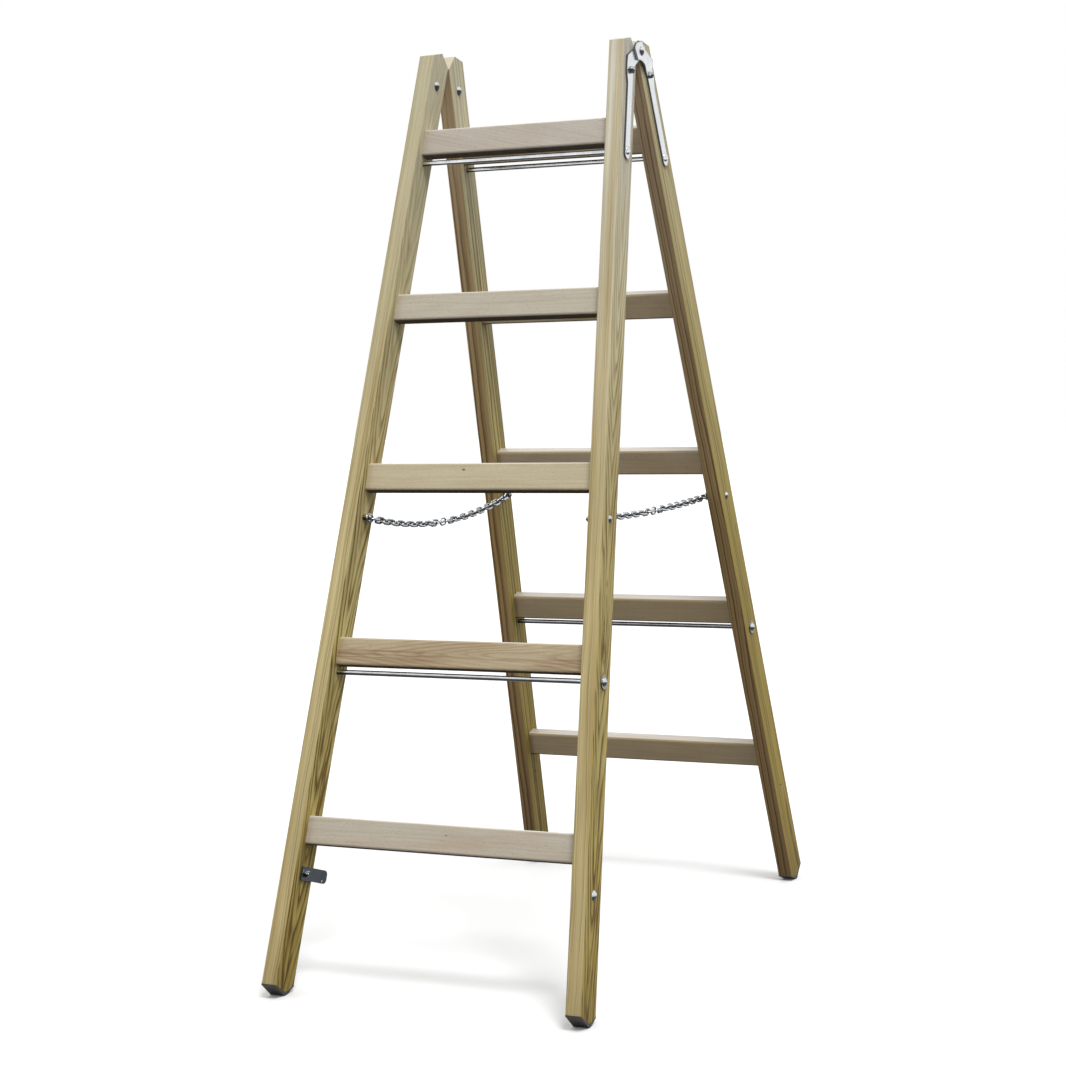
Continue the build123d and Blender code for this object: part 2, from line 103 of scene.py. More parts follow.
class Nodes:
    """A node tree under construction, with short calls for the nodes that the finishes share."""

    def __init__(self, tree, output):
        self.tree = tree
        self.tree.nodes.clear()
        self.output = self.tree.nodes.new("ShaderNodeOutput" + output)

    def feed(self, socket, value):
        if isinstance(value, bpy.types.NodeSocket):
            self.tree.links.new(value, socket)
        else:
            socket.default_value = value

    def add(self, kind, inputs=(), **settings):
        node = self.tree.nodes.new("ShaderNode" + kind)
        for name, value in settings.items():
            setattr(node, name, value)
        for name, value in dict(inputs).items():
            self.feed(node.inputs[name], value)
        return node

    def show(self, shader):
        self.tree.links.new(shader.outputs[0], self.output.inputs["Surface"])

    def place(self):
        """Place on the surface in the axes of the ladder at rest."""
        return self.add("TexCoord").outputs["Object"]

    def facing(self):
        """Direction of the surface in the axes of the ladder at rest."""
        return self.add("TexCoord").outputs["Normal"]

    def local(self, turn, origin):
        """Place in a board's own axes, with z along it."""
        inputs = {"Vector": self.place(), "Location": origin, "Rotation": turn.to_euler()}
        return self.add("Mapping", inputs, vector_type="TEXTURE").outputs[0]

    def math(self, operation, first, second=0.0, third=0.0):
        return self.add("Math", {0: first, 1: second, 2: third}, operation=operation).outputs[0]

    def vector(self, operation, first, second=(0, 0, 0)):
        node = self.add("VectorMath", {0: first, 1: second}, operation=operation)
        return node.outputs["Value" if operation in ("LENGTH", "DOT_PRODUCT") else "Vector"]

    def part(self, vector, axis):
        return self.add("SeparateXYZ", {0: vector}).outputs[axis]

    def noise(self, place, scale, detail=2.0, roughness=0.5, colour=False):
        """Noise from 0 to 1, its scale in cells to the metre along each axis."""
        inputs = {"Vector": self.vector("MULTIPLY", place, scale), "Scale": 1.0}
        inputs.update({"Detail": detail, "Roughness": roughness})
        return self.add("TexNoise", inputs).outputs[1 if colour else 0]

    def drift(self, place, scale, reach):
        """Vector that wanders around zero by the reach along each axis."""
        wander = self.vector("SUBTRACT", self.noise(place, scale, colour=True), NOISE_MIDDLE)
        return self.vector("MULTIPLY", wander, reach)

    def spread(self, value, low, high, to_low=0.0, to_high=1.0):
        """Smooth step of a value from low to high."""
        inputs = {"Value": value, "From Min": low, "From Max": high, "To Min": to_low, "To Max": to_high}
        return self.add("MapRange", inputs, interpolation_type="SMOOTHSTEP").outputs[0]

    def ramp(self, value, stops):
        node = self.add("ValToRGB", {0: value})
        bands = node.color_ramp
        while len(bands.elements) < len(stops):
            bands.elements.new(0.5)
        for element, (position, colour) in zip(bands.elements, stops):
            element.position = position
            element.color = colour if isinstance(colour, tuple) else (colour, colour, colour, 1)
        return node.outputs[0]

    def mix(self, share, first, second):
        node = self.add("Mix", zip(MIX_INPUTS, (share, first, second)), data_type="RGBA")
        return node.outputs[MIX_RESULT]

    def shade(self, colour, factor):
        """Colour times a number that varies over the surface."""
        grey = self.add("CombineXYZ", {0: factor, 1: factor, 2: factor}).outputs[0]
        return self.vector("MULTIPLY", colour, grey)

    def rounded(self, radius):
        """Direction of the surface with its sharp edges rounded."""
        return self.add("Bevel", {"Radius": radius}, samples=SHADER_RAYS).outputs[0]

    def edges(self, radius):
        """1 along sharp edges, 0 on open faces."""
        true_facing = self.add("NewGeometry").outputs["Normal"]
        return self.spread(self.vector("DOT_PRODUCT", self.rounded(radius), true_facing), *EDGE_STEP)

    def crevices(self, reach):
        """1 where other surfaces close in, 0 in the open."""
        open_share = self.add("AmbientOcclusion", {"Distance": reach}, samples=SHADER_RAYS).outputs["AO"]
        return self.spread(open_share, *CREVICE_STEP)

    def bump(self, height, distance, radius):
        """Direction of a relief's surface, with sharp edges eased by a radius."""
        inputs = {"Height": height, "Distance": distance, "Normal": self.rounded(radius)}
        return self.add("Bump", inputs).outputs[0]


class Finish(Nodes):
    """A material under construction."""

    def __init__(self, name):
        self.material = bpy.data.materials.new(name)
        self.material.use_nodes = True
        super().__init__(self.material.node_tree, "Material")

    def surface(self, inputs):
        """Adds the shader, with its constants set on its own sockets."""
        self.show(self.add("BsdfPrincipled", inputs))
        return self.material


# growth rings and figure of all wood
SEED_START = (1.0, 2.0, 3.0)
SEED_STRIDE = (3.17, 5.71, 7.93)
RING_SWAY = (7.0, 7.0, 2.2)  # cells to the metre
RING_RIPPLE = (60.0, 60.0, 15.0)  # cells to the metre
RIPPLE_REACH = (0.003, 0.003, 0)
CALM_SWAY = 0.3  # ratio of the sway at the calm end of a board to the sway at its other end
RING_DRIFT = {"Scale": 0.4, "Detail": 1.0}  # noise along the count of the rings
DRIFT_REACH = 1.6  # rings
RING_PROFILE = [(0.0, 0.15), (0.2, 0.0), (0.45, 0.12), (0.75, 0.7), (0.9, 1.0), (1.0, 0.15)]
ARCH_SWAY = (3.0, 3.0, 3.0)  # cells to the metre
ARCH_FIELD = {"scale": (24.0, 24.0, 4.0), "detail": 3.0, "roughness": 0.42}
ARCH_BREAKS = {"scale": (60.0, 60.0, 9.0), "detail": 3.0, "roughness": 0.6}
BREAK_STEP = (0.32, 0.62)
BROKEN_ARCH = 0.35  # ratio of an arch's strength where it breaks to its full strength
ARCH_PROFILE = [(0.0, 0.4), (0.1, 0.0), (0.4, 0.05), (0.65, 0.65), (0.86, 1.0), (1.0, 0.4)]
PATCH_STEP = (0.05, 0.6)
GRAIN = ("fibre", "streak", "blotch")  # noises that every wood has
FIBRE_STEP = (0.25, 0.75)
BLOTCH_STEP = (0.3, 0.7)
WEAR_REACH = 0.003
WEAR_STEP = (0.35, 0.65)
LEAST_WEAR = 0.1


def seed_shift(seed):
    """A far place in the noise for each board, always the same one."""
    return tuple(start + seed * stride for start, stride in zip(SEED_START, SEED_STRIDE))


def eye_shape(finish, place, eye):
    """Smooth hill over a spot on a board's wide face, 1 at its top."""
    offset = finish.vector("SUBTRACT", place, (0, eye["across"], eye["along"]))
    offset = finish.vector("MULTIPLY", offset, (0, 1 / eye["width"], 1 / eye["length"]))
    distance = finish.vector("DOT_PRODUCT", offset, offset)
    return finish.math("EXPONENT", finish.math("MULTIPLY", distance, -1.0))


def growth_rings(finish, place, shift, look):
    """0 in the pale early wood of each ring, 1 in its dark late wood."""
    moved = finish.vector("ADD", place, shift)
    calm = finish.spread(finish.part(place, 2), look["calm_from"], look["calm_to"], 1.0, CALM_SWAY)
    sway = finish.drift(moved, RING_SWAY, (look["wander"], look["wander"], 0))
    ripple = finish.drift(moved, RING_RIPPLE, RIPPLE_REACH)
    across = finish.vector("MULTIPLY", finish.vector("SUBTRACT", place, look["pith"]), (1, 1, 0))
    across = finish.vector("ADD", across, finish.shade(sway, calm))
    radius = finish.vector("LENGTH", finish.vector("ADD", across, ripple))
    phase = finish.math("DIVIDE", radius, look["ring"])
    uneven = finish.add("TexNoise", dict(RING_DRIFT, W=phase), noise_dimensions="1D").outputs[0]
    phase = finish.math("MULTIPLY_ADD", uneven, DRIFT_REACH, phase)
    late = finish.ramp(finish.math("FRACT", phase), RING_PROFILE)
    number = finish.math("FLOOR", phase)
    strength = finish.add("TexWhiteNoise", {"W": number}, noise_dimensions="1D").outputs[0]
    return finish.math("MULTIPLY", late, finish.spread(strength, 0.0, 1.0, look["faintest"], 1.0))


def flat_figure(finish, place, moved, look):
    """Nested arches as on a flat-sawn face, 0 in the pale wood and 1 along the dark lines."""
    sway = finish.drift(moved, ARCH_SWAY, (0, look["arch_wander"], 0))
    aside = finish.part(finish.vector("ADD", place, sway), 1)
    aside = finish.math("SQRT", finish.math("MULTIPLY_ADD", aside, aside, look["arch_tip"] ** 2))
    arch = finish.math("MULTIPLY_ADD", aside, -look["arch_slope"], finish.part(place, 2))
    field = finish.math("MULTIPLY", finish.noise(moved, **ARCH_FIELD), look["lines"])
    phase = finish.math("MULTIPLY_ADD", arch, look["arches"], field)
    for eye in look["eyes"]:
        phase = finish.math("MULTIPLY_ADD", eye_shape(finish, place, eye), eye["rings"], phase)
    line = finish.ramp(finish.math("FRACT", phase), ARCH_PROFILE)
    broken = finish.noise(moved, **ARCH_BREAKS)
    strength = finish.spread(broken, *BREAK_STEP, BROKEN_ARCH * look["figure"], look["figure"])
    return finish.math("MULTIPLY", line, strength)


def heartwood(finish, place, moved, colour, look):
    """Colour with streaks of dark heartwood in the look's patches."""
    for patch in look["hearts"]:
        flame = finish.spread(finish.noise(moved, **look["flame"]), *look["flame_step"])
        heart = finish.math("MULTIPLY", finish.spread(eye_shape(finish, place, patch), *PATCH_STEP), flame)
        colour = finish.mix(finish.math("MULTIPLY", heart, look["heart_share"]), colour, look["heart"])
    return colour


def uneven_light(finish, fibre, streak, blotch, look):
    """Number around 1 that lightens and darkens wood along its grain."""
    light = finish.math("ADD", finish.spread(fibre, *FIBRE_STEP, -look["fibre_light"], look["fibre_light"]),
                        finish.spread(streak, *FIBRE_STEP, look["streak_light"], -look["streak_light"]))
    blotches = finish.spread(blotch, *BLOTCH_STEP, 1 - look["blotch_light"], 1 + look["blotch_light"])
    return finish.math("ADD", light, blotches)


def worn_edges(finish, blotch, colour, look):
    wear = finish.spread(blotch, *WEAR_STEP, LEAST_WEAR, look["wear"])
    return finish.mix(finish.math("MULTIPLY", finish.edges(WEAR_REACH), wear), colour, look["worn"])


# stiles
WIDE_FACE_STEP = (0.6, 0.8)  # part of the surface's direction through the thickness
END_FACE_STEP = (0.3, 0.6)  # part of the surface's direction along the stile
END_SHARE = 0.8
MIDDLE_HEIGHT = 0.45  # share of the stile's length at which it has its middle tone
FADED_HEIGHT = 0.95  # share of the stile's length at which the contrast reaches its top value
GOLD_STEP = (0.45, 0.7)
PORES = {"scale": (1500.0, 1500.0, 70.0), "detail": 1.0}
PORE_STEP = (0.7, 0.78)
PORE_SHARE = 0.45
GRIME_HEIGHT_STEP = (0.08, 0.0)
GRIME_BLOTCH_STEP = (0.4, 0.7, 0.1, 0.4)
LATE_GLOSS = 0.08  # fall in roughness on the late wood
STILE_ROUGHNESS_STEP = (0.2, 0.8, 0.44, 0.6)
STILE_FIBRE_RELIEF = 0.5  # ratio of the fibres' relief to the rings'
STILE_RELIEF = 0.00012
STILE_EASE = 0.0012
STILE_GLOSS = 0.04


def stile_tone(finish, height, streak, late, look):
    """Colour of the rings on pale wood, from the foot to the top of a stile."""
    pale_tones = [(0.0, look["pale_low"]), (MIDDLE_HEIGHT, look["pale_mid"]), (1.0, look["pale_top"])]
    pale = finish.ramp(height, pale_tones)
    dark = finish.ramp(height, [(0.0, look["dark_low"]), (1.0, look["dark_top"])])
    gold = finish.math("MULTIPLY", finish.spread(streak, *GOLD_STEP), look["gold_share"])
    colour = finish.mix(gold, pale, look["gold"])
    top_contrast = look["contrast"] * look["top_contrast"]
    contrast = finish.spread(height, look["fade_from"], FADED_HEIGHT, look["contrast"], top_contrast)
    return finish.mix(finish.math("MULTIPLY", late, contrast), colour, dark)


def stile_finish(name, turn, foot, length, seed, look):
    """Planed softwood with long rings, its tone changing from the foot to the top."""
    finish = Finish(name)
    place = finish.local(turn, foot)
    shift = seed_shift(seed)
    moved = finish.vector("ADD", place, shift)
    fibre, streak, blotch = (finish.noise(moved, **look[kind]) for kind in GRAIN)
    height = finish.math("DIVIDE", finish.part(place, 2), length)
    facing = finish.facing()
    sideways = finish.math("ABSOLUTE", finish.vector("DOT_PRODUCT", facing, tuple(turn.col[0])))
    wide_face = finish.spread(sideways, *WIDE_FACE_STEP)
    end_face = finish.spread(finish.vector("DOT_PRODUCT", facing, tuple(turn.col[2])), *END_FACE_STEP)
    late = growth_rings(finish, place, shift, look)
    if look["flat_sawn"]:
        late = finish.mix(wide_face, late, flat_figure(finish, place, moved, look))
    colour = stile_tone(finish, height, streak, late, look)
    colour = heartwood(finish, place, moved, colour, look)
    colour = finish.shade(colour, uneven_light(finish, fibre, streak, blotch, look))
    pores = finish.spread(finish.noise(moved, **PORES), *PORE_STEP)
    colour = finish.mix(finish.math("MULTIPLY", pores, PORE_SHARE), colour, look["dark_low"])
    # the narrow and the wide faces take their own tints: partly the wood's own colour, partly painted shade
    side_tint_and_shade = finish.mix(height, look["side_tint_and_shade"], look["side_top_tint_and_shade"])
    colour = finish.vector("MULTIPLY", colour, finish.mix(wide_face, look["narrow_tint_and_shade"], side_tint_and_shade))
    colour = finish.mix(finish.math("MULTIPLY", end_face, END_SHARE), colour, look["end"])
    colour = worn_edges(finish, blotch, colour, look)
    grime = finish.math("MULTIPLY", finish.spread(height, *GRIME_HEIGHT_STEP),
                        finish.spread(blotch, *GRIME_BLOTCH_STEP))
    colour = finish.mix(grime, colour, look["grime"])
    rough = finish.math("MULTIPLY_ADD", late, -LATE_GLOSS, finish.spread(fibre, *STILE_ROUGHNESS_STEP))
    relief = finish.math("MULTIPLY_ADD", fibre, STILE_FIBRE_RELIEF, late)
    normal = finish.bump(relief, STILE_RELIEF, STILE_EASE)
    return finish.surface({"Base Color": colour, "Roughness": rough, "Normal": normal,
                           "Specular IOR Level": STILE_GLOSS})


# rungs
BLUSH_STEP = (0.35, 0.7, 0.0, 0.6)
FLECKS = {"scale": (2100.0, 900.0, 210.0), "detail": 1.0}
FLECK_STEP = (0.6, 0.74)
FLECK_SHARE = 0.35
KNOT_STEP = (0.25, 0.7)
KNOT_SHARE = 0.85
UNDERSIDE_SHADE_STEP = (-0.45, -0.85)  # upward part of the surface's direction, over which the painted shade on undersides comes in
UNDERSIDE_SHADE_SHARE = 0.75
LIT_TOP_STEP = (0.72, 0.92)  # upward part of the surface's direction, over which the painted light on top faces comes in
TOP_LIGHT_STREAK_STEP = (0.3, 0.7, 0.9, 0.55)
RUNG_ROUGHNESS_STEP = (0.2, 0.8, 0.5, 0.64)
RUNG_FIBRE_RELIEF = 0.6
FLECK_RELIEF = -0.7
RUNG_RELIEF = 0.00008
RUNG_EASE = 0.0008
VARNISH = 0.9  # weight of the varnish, down to none on the underside
VARNISH_ROUGHNESS = 0.2


def rung_finish(name, turn, middle, seed, look):
    """Planed beech with close rings and fine short flecks along the grain."""
    finish = Finish(name)
    place = finish.local(turn @ Matrix.Rotation(look["slope"], 3, "X"), middle)
    shift = seed_shift(seed)
    moved = finish.vector("ADD", place, shift)
    fibre, streak, blotch = (finish.noise(moved, **look[kind]) for kind in GRAIN)
    late = growth_rings(finish, place, shift, look)
    if look["flat_sawn"]:
        late = finish.math("MAXIMUM", late, flat_figure(finish, place, moved, look))
    pale = finish.mix(finish.spread(blotch, *BLUSH_STEP), look["pale"], look["blush"])
    colour = finish.mix(finish.math("MULTIPLY", late, look["contrast"]), pale, look["dark"])
    colour = heartwood(finish, place, moved, colour, look)
    colour = finish.shade(colour, uneven_light(finish, fibre, streak, blotch, look))
    fleck = finish.spread(finish.noise(moved, **FLECKS), *FLECK_STEP)
    colour = finish.mix(finish.math("MULTIPLY", fleck, FLECK_SHARE), colour, look["fleck"])
    for knot in look["knots"]:
        spot = finish.spread(eye_shape(finish, place, knot), *KNOT_STEP)
        colour = finish.mix(finish.math("MULTIPLY", spot, KNOT_SHARE), colour, look["knot"])
    colour = worn_edges(finish, blotch, colour, look)
    upward = finish.part(finish.facing(), 2)
    # painted shade: undersides darken toward the look's underside colour
    below = finish.spread(upward, *UNDERSIDE_SHADE_STEP)
    colour = finish.mix(finish.math("MULTIPLY", below, UNDERSIDE_SHADE_SHARE), colour, look["below"])
    # painted light: faces turned up grow paler, more so along some streaks
    dust_and_top_light = finish.spread(streak, *TOP_LIGHT_STREAK_STEP)
    above = finish.math("MULTIPLY", finish.spread(upward, *LIT_TOP_STEP), dust_and_top_light)
    colour = finish.mix(above, colour, look["dust_and_top_light"])
    rough = finish.spread(fibre, *RUNG_ROUGHNESS_STEP)
    relief = finish.math("MULTIPLY", fibre, RUNG_FIBRE_RELIEF)
    relief = finish.math("MULTIPLY_ADD", fleck, FLECK_RELIEF, relief)
    normal = finish.bump(relief, RUNG_RELIEF, RUNG_EASE)
    varnish = finish.math("MULTIPLY_ADD", below, -VARNISH, VARNISH)
    return finish.surface({"Base Color": colour, "Roughness": rough, "Normal": normal,
                           "Specular IOR Level": 0.0, "Coat Weight": varnish,
                           "Coat Roughness": VARNISH_ROUGHNESS})


# metal
CLOUDS = {"scale": (55.0, 55.0, 30.0), "detail": 4.0, "roughness": 0.6}
CLOUD_STEP = (0.25, 0.75)
CLOUD_TINT = (0.1, 0.7)
MOTTLE = {"scale": (700.0, 700.0, 700.0)}
MOTTLE_STEP = (0.3, 0.7, 0.95, 1.03)
CRYSTAL_TINT = 0.3
CRYSTAL_RELIEF = 0.4  # ratio of the crystals' relief to the mottle's
UNDERSIDE_SHADE_FADE = 0.32  # upward part of the surface's direction over which the painted shade on an underside comes in
CUT_STEP = (0.8, 0.5)  # sideways part of the surface's direction
DIRT_AND_SHADE_ROUGHNESS = 0.15
METAL_RELIEF = 0.00002


def metal_dirt_and_shade(finish, look):
    """Share of painted shade on undersides, of bare steel and painted shade on cut edges, and of dirt and painted
    shade in corners.
    """
    facing = finish.facing()
    # painted shade: undersides darken below the level given
    underside_shade_step = (look["underside_shade_from"], look["underside_shade_from"] - UNDERSIDE_SHADE_FADE)
    under = finish.math("MULTIPLY", finish.spread(finish.part(facing, 2), *underside_shade_step), look["under"])
    # cut sides darken: bare cut steel and painted shade
    sideways = finish.math("ABSOLUTE", finish.part(facing, 0))
    cut = finish.math("MULTIPLY", finish.spread(sideways, *CUT_STEP), look["cut"])
    # corners darken where other surfaces close in: dirt and painted shade
    corners = finish.math("MULTIPLY", finish.crevices(look["reach"]), look["crevice"])
    return finish.math("MAXIMUM", finish.math("MAXIMUM", under, cut), corners)


def metal_finish(name, look):
    """Plated or plain steel with a cloudy surface, small crystals and marked edges, darker on undersides (painted
    shade), on cut edges (bare steel and painted shade) and in corners (dirt and painted shade).
    """
    finish = Finish(name)
    place = finish.place()
    cloud = finish.noise(place, **CLOUDS)
    mottle = finish.noise(place, **MOTTLE)
    crystal = finish.add("TexVoronoi", {"Vector": place, "Scale": look["crystals"]}).outputs["Color"]
    crystal = finish.add("SeparateColor", {0: crystal}).outputs[0]
    tint = finish.math("MULTIPLY_ADD", crystal, CRYSTAL_TINT, finish.spread(cloud, *CLOUD_STEP, *CLOUD_TINT))
    colour = finish.mix(tint, look["dull"], look["bright"])
    colour = finish.shade(colour, finish.spread(mottle, *MOTTLE_STEP))
    edge = finish.math("MULTIPLY", finish.edges(look["edge_reach"]), look["edge_share"])
    colour = finish.mix(edge, colour, look["edge"])
    # dirt and painted shade, mixed in as one dark colour
    dirt_and_shade = metal_dirt_and_shade(finish, look)
    colour = finish.mix(dirt_and_shade, colour, look["dirt_and_shade"])
    rough = finish.spread(cloud, *CLOUD_STEP, look["smooth"], look["rough"])
    rough = finish.math("MULTIPLY_ADD", dirt_and_shade, DIRT_AND_SHADE_ROUGHNESS, rough)
    relief = finish.math("MULTIPLY_ADD", crystal, CRYSTAL_RELIEF, mottle)
    normal = finish.bump(relief, METAL_RELIEF, look["ease"])
    return finish.surface({"Base Color": colour, "Metallic": 1.0, "Roughness": rough, "Normal": normal})


# rubber
RUBBER_GRAIN = {"scale": (2600.0, 2600.0, 2600.0)}
RUBBER_BLOOM = {"scale": (90.0, 90.0, 90.0), "detail": 4.0}
BLOOM_STEP = (0.4, 0.75, 0.0, 0.7)
RUBBER_BLACK = tone(34, 32, 31)
RUBBER_GREY = tone(62, 59, 56)
DUST_HEIGHT_STEP = (0.006, 0.0)
DUST_BLOOM_STEP = (0.45, 0.7, 0.1, 0.6)
DUST_ON_RUBBER = tone(104, 97, 86)
RUBBER_EDGE = tone(84, 80, 76)
RUBBER_EDGE_REACH = 0.001
RUBBER_EDGE_SHARE = 0.35
RUBBER_ROUGHNESS_STEP = (0.3, 0.7, 0.45, 0.68)
RUBBER_RELIEF = 0.0001
RUBBER_EASE = 0.0006


def rubber_finish(name):
    """Black rubber with a grey bloom and floor dust along its lower edges."""
    finish = Finish(name)
    place = finish.place()
    grain = finish.noise(place, **RUBBER_GRAIN)
    bloom = finish.noise(place, **RUBBER_BLOOM)
    colour = finish.mix(finish.spread(bloom, *BLOOM_STEP), RUBBER_BLACK, RUBBER_GREY)
    low = finish.spread(finish.part(place, 2), *DUST_HEIGHT_STEP)
    # floor dust on the rubber's lower edges
    dust_and_top_light = finish.math("MULTIPLY", low, finish.spread(bloom, *DUST_BLOOM_STEP))
    colour = finish.mix(dust_and_top_light, colour, DUST_ON_RUBBER)
    edge = finish.math("MULTIPLY", finish.edges(RUBBER_EDGE_REACH), RUBBER_EDGE_SHARE)
    colour = finish.mix(edge, colour, RUBBER_EDGE)
    rough = finish.spread(grain, *RUBBER_ROUGHNESS_STEP)
    normal = finish.bump(grain, RUBBER_RELIEF, RUBBER_EASE)
    return finish.surface({"Base Color": colour, "Roughness": rough, "Normal": normal})


def eye(along, across, length, width, rings=0.0):
    """A spot on a board, its centre from the foot of a stile or the middle of a rung."""
    return {"along": along, "across": across, "length": length, "width": width, "rings": rings}


# Looks of the wood. Pith and ring are the centre of the growth rings across a board, and their spacing. The
# rings wander by that reach, less so from calm_from to calm_to along the board, and the faintest of them has
# that strength. A flat-sawn board also shows nested arches: figure is their strength, arches their number to
# the metre, lines how many of them a noise shifts them by, arch_slope how steeply they rise along the board,
# arch_tip how far their tips are rounded and arch_wander the drift of their middle line. Eyes bend the arches
# into rings, and hearts are patches of dark streaks. Tints are factors on the linear colour.
SOFTWOOD = {
    "fibre": {"scale": (1300.0, 1300.0, 16.0), "detail": 3.0, "roughness": 0.6},
    "streak": {"scale": (170.0, 170.0, 2.0), "detail": 4.0, "roughness": 0.62},
    "blotch": {"scale": (24.0, 24.0, 4.0), "detail": 3.0},
    "fibre_light": 0.08, "streak_light": 0.12, "blotch_light": 0.08,
    "wander": 0.03, "calm_from": 0.6, "calm_to": 1.0, "faintest": 0.1,
    "hearts": (), "wear": 0.45, "fade_from": 0.5, "end": tone(194, 191, 171)}
FRONT_WOOD = dict(
    SOFTWOOD, flat_sawn=True, figure=1.2, lines=4.0, arches=13.0, arch_slope=7.0, arch_tip=0.004,
    arch_wander=0.03, eyes=(), contrast=0.92, top_contrast=0.22, gold_share=0.5, heart_share=0.75,
    flame={"scale": (150.0, 150.0, 14.0), "detail": 3.0, "roughness": 0.6}, flame_step=(0.44, 0.62),
    pale_low=tone(186, 169, 124), pale_mid=tone(195, 180, 134), pale_top=tone(203, 199, 182),
    dark_low=tone(92, 68, 30), dark_top=tone(140, 118, 76), heart=tone(92, 64, 26),
    gold=tone(190, 160, 88), worn=tone(166, 138, 78), grime=tone(108, 92, 62),
    # face tints: partly the wood's own colour, partly painted shade
    narrow_tint_and_shade=(1, 1, 1, 1), side_tint_and_shade=(0.97, 0.94, 0.54, 1), side_top_tint_and_shade=(1.12, 1.16, 1.3, 1))
REAR_WOOD = dict(
    SOFTWOOD, flat_sawn=False, contrast=0.95, top_contrast=0.8, gold_share=0.4,
    pale_low=tone(160, 138, 98), pale_mid=tone(174, 153, 100), pale_top=tone(198, 184, 148),
    dark_low=tone(72, 48, 32), dark_top=tone(100, 72, 48),
    gold=tone(176, 148, 78), worn=tone(140, 116, 70), grime=tone(92, 78, 54),
    # the narrow faces are darker and purpler, painted shade; the wide faces' tints are partly the wood's own
    # colour, partly painted shade
    narrow_tint_and_shade=(0.94, 0.87, 0.98, 1), side_tint_and_shade=(0.95, 0.98, 0.54, 1), side_top_tint_and_shade=(1.04, 1.1, 1.15, 1))
STILES = {
    "front_left_stile": dict(
        FRONT_WOOD, pith=(0.06, 0.006, 0), ring=0.0018,
        pale_mid=tone(202, 188, 142), pale_top=tone(190, 183, 155),
        hearts=(eye(0.30, 0.002, 0.16, 0.02), eye(0.08, -0.004, 0.07, 0.016))),
    "front_right_stile": dict(
        FRONT_WOOD, pith=(-0.065, -0.002, 0), ring=0.0017,
        eyes=(eye(0.619, 0.0, 0.03, 0.008, 1.5), eye(0.551, 0.0, 0.05, 0.011, 2.2)),
        hearts=(eye(0.56, 0.0, 0.06, 0.012), eye(0.21, 0.004, 0.12, 0.018), eye(0.04, 0.0, 0.05, 0.02))),
    "rear_left_stile": dict(
        REAR_WOOD, pith=(0.022, -0.006, 0), ring=0.0062, wander=0.014, faintest=0.5, fade_from=0.78,
        pale_mid=tone(205, 180, 116), pale_top=tone(228, 209, 162),
        top_contrast=0.35, side_top_tint_and_shade=(0.82, 0.94, 1.24, 1)),
    "rear_right_stile": dict(REAR_WOOD, pith=(0.052, 0.01, 0), ring=0.0046, wander=0.022),
}
BEECH = {
    "fibre": {"scale": (1500.0, 1500.0, 22.0), "detail": 2.0, "roughness": 0.6},
    "streak": {"scale": (230.0, 230.0, 5.0), "detail": 4.0, "roughness": 0.62},
    "blotch": {"scale": (30.0, 30.0, 8.0), "detail": 3.0},
    "fibre_light": 0.04, "streak_light": 0.06, "blotch_light": -0.04, "wear": 0.4,
    "pith": (0.09, 0.035, 0), "ring": 0.0034, "wander": 0.02, "calm_from": -1.0, "calm_to": 1.0, "slope": 0.0,
    "contrast": 0.25, "faintest": 0.3, "flat_sawn": False, "hearts": (), "knots": (),
    "pale": tone(190, 182, 164), "blush": tone(190, 173, 152), "dark": tone(150, 130, 102),
    "fleck": tone(128, 106, 80), "worn": tone(214, 207, 192), "knot": tone(66, 46, 30),
    # the last two colours are the painted shade on undersides and the painted light on top faces
    "below": tone(66, 54, 42), "dust_and_top_light": tone(226, 222, 216)}
FRONT_RUNGS = {
    1: dict(BEECH, pale=tone(184, 177, 160), blush=tone(190, 167, 146), dark=tone(152, 128, 104),
            knots=(eye(0.012, 0.006, 0.0016, 0.001),)),
    2: dict(BEECH, pith=(0.05, -0.03, 0), wander=0.03, contrast=0.62, pale=tone(187, 171, 139),
            blush=tone(178, 156, 120), dark=tone(136, 106, 72), heart=tone(132, 96, 62), heart_share=0.8,
            flame={"scale": (240.0, 240.0, 5.0), "detail": 4.0, "roughness": 0.6}, flame_step=(0.4, 0.68),
            hearts=(eye(-0.14, -0.008, 0.1, 0.012), eye(0.2, -0.014, 0.08, 0.012)),
            flat_sawn=True, figure=1.0, lines=3.0, arches=20.0, arch_slope=8.0, arch_tip=0.003,
            arch_wander=0.02, eyes=(eye(0.06, 0.002, 0.06, 0.009, 1.5),)),
    3: dict(BEECH, pale=tone(194, 182, 152), blush=tone(192, 176, 142), dark=tone(166, 146, 112),
            knots=(eye(-0.0255, 0.0105, 0.003, 0.0018),)),
    4: dict(BEECH, pith=(0.06, 0.05, 0)),
    5: dict(BEECH, pale=tone(192, 184, 173), blush=tone(190, 177, 160), pith=(0.02, 0.09, 0),
            slope=math.radians(14), contrast=0.32),
}
# the rear rungs are darker and warmer than the front ones: painted shade with warm bounce light; the lower two are
# darker still, with weaker painted light on their tops
REAR_RUNG = dict(BEECH, pale=tone(186, 167, 134), blush=tone(180, 158, 124), dark=tone(142, 114, 78))
LOW_REAR_RUNG = dict(REAR_RUNG, pale=tone(172, 152, 113), blush=tone(166, 143, 104), dust_and_top_light=tone(210, 207, 201))
REAR_RUNGS = {1: LOW_REAR_RUNG, 2: LOW_REAR_RUNG, 3: REAR_RUNG, 4: REAR_RUNG, 5: REAR_RUNG}

